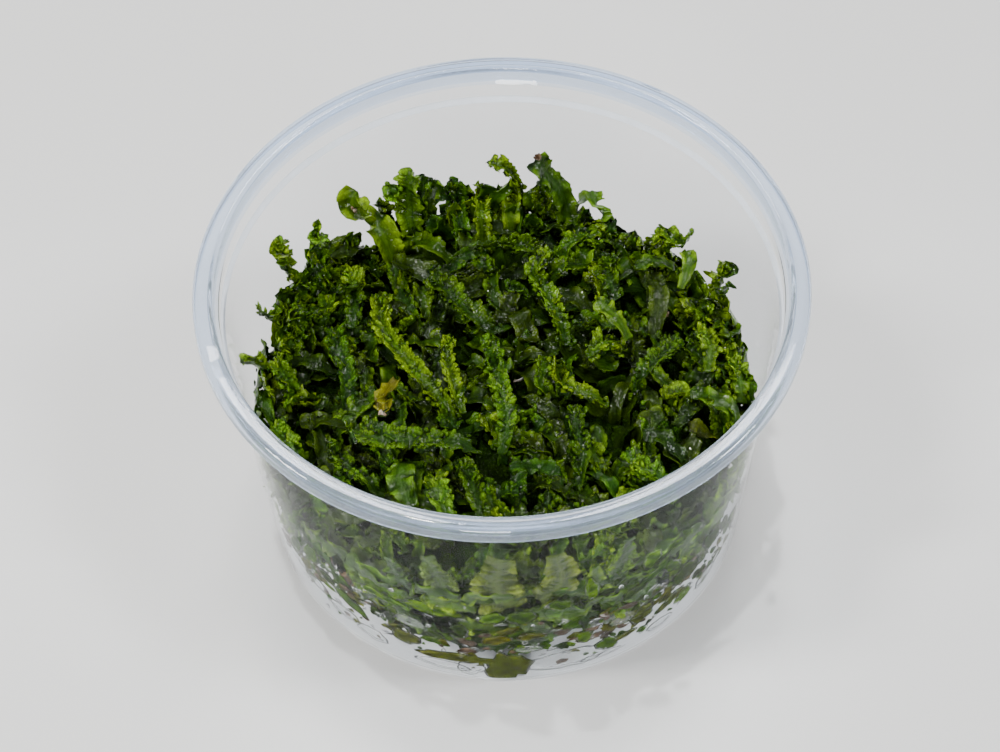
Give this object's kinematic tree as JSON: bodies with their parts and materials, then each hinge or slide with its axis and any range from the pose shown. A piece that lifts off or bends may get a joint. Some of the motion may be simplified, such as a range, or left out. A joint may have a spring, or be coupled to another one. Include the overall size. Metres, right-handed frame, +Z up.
{
  "type": "liverwort in clear plastic cup",
  "caption": "Loose heap of wet, crisp-edged green liverwort thalli in a clear plastic cup with a wide rolled rim, ready to plant in an aquarium.",
  "frame": {"origin": "middle of the cup's foot, on the surface it stands on", "axes": "+Z up out of the cup's mouth, -Y towards the side that the picture shows, +X to the right as seen from there"},
  "size_m": [0.118, 0.118, 0.0664],
  "materials": {
    "cup_plastic": "clear, glossy and faintly milky, bluish white at the thick rim",
    "packed": "dark wet green, matted",
    "thallus_shaded": "wet, dark green, smooth",
    "thallus_mature": "wet, mid green, crisped edge",
    "thallus_fresh": "wet, bright yellow-green, crisped edge",
    "thallus_aged": "wet, ochre to olive brown, limp"
  },
  "bodies": {
    "root": {"cup": "cup_plastic", "packed_thalli": "packed", "scrap_front": "thallus_aged", "scrap_right": "thallus_aged", "scrap_left": "thallus_mature", "thallus_shaded_01": "thallus_shaded", "thallus_shaded_02": "thallus_shaded", "thallus_shaded_03": "thallus_mature", "thallus_shaded_04": "thallus_shaded", "thallus_shaded_05": "thallus_shaded", "thallus_shaded_06": "thallus_shaded", "thallus_shaded_07": "thallus_shaded", "thallus_shaded_08": "thallus_aged", "thallus_shaded_09": "thallus_shaded", "thallus_shaded_10": "thallus_shaded", "thallus_left_01": "thallus_mature", "thallus_left_02": "thallus_mature", "thallus_left_03": "thallus_fresh", "thallus_left_04": "thallus_fresh", "thallus_left_05": "thallus_fresh", "thallus_left_06": "thallus_fresh", "thallus_left_07": "thallus_mature", "thallus_left_08": "thallus_mature", "thallus_left_09": "thallus_fresh", "thallus_back_01": "thallus_fresh", "thallus_back_02": "thallus_fresh", "thallus_back_03": "thallus_mature", "thallus_back_04": "thallus_fresh", "thallus_back_05": "thallus_fresh", "thallus_back_06": "thallus_mature", "thallus_back_07": "thallus_fresh", "thallus_back_08": "thallus_fresh", "thallus_right_01": "thallus_mature", "thallus_right_02": "thallus_mature", "thallus_right_03": "thallus_aged", "thallus_right_04": "thallus_fresh", "thallus_right_05": "thallus_mature", "thallus_right_06": "thallus_fresh", "thallus_right_07": "thallus_fresh", "thallus_right_08": "thallus_fresh", "thallus_right_09": "thallus_mature", "thallus_front_01": "thallus_mature", "thallus_front_02": "thallus_mature", "thallus_front_03": "thallus_fresh", "thallus_front_04": "thallus_mature", "thallus_front_05": "thallus_fresh", "thallus_top_01": "thallus_mature", "thallus_top_02": "thallus_fresh", "thallus_top_03": "thallus_mature", "thallus_top_04": "thallus_fresh", "thallus_top_05": "thallus_fresh", "thallus_top_06": "thallus_fresh", "thallus_top_07": "thallus_fresh", "thallus_top_08": "thallus_fresh", "thallus_top_09": "thallus_mature", "thallus_top_10": "thallus_fresh", "thallus_top_11": "thallus_mature", "thallus_top_12": "thallus_aged", "thallus_top_13": "thallus_mature"}
  },
  "joints": []
}
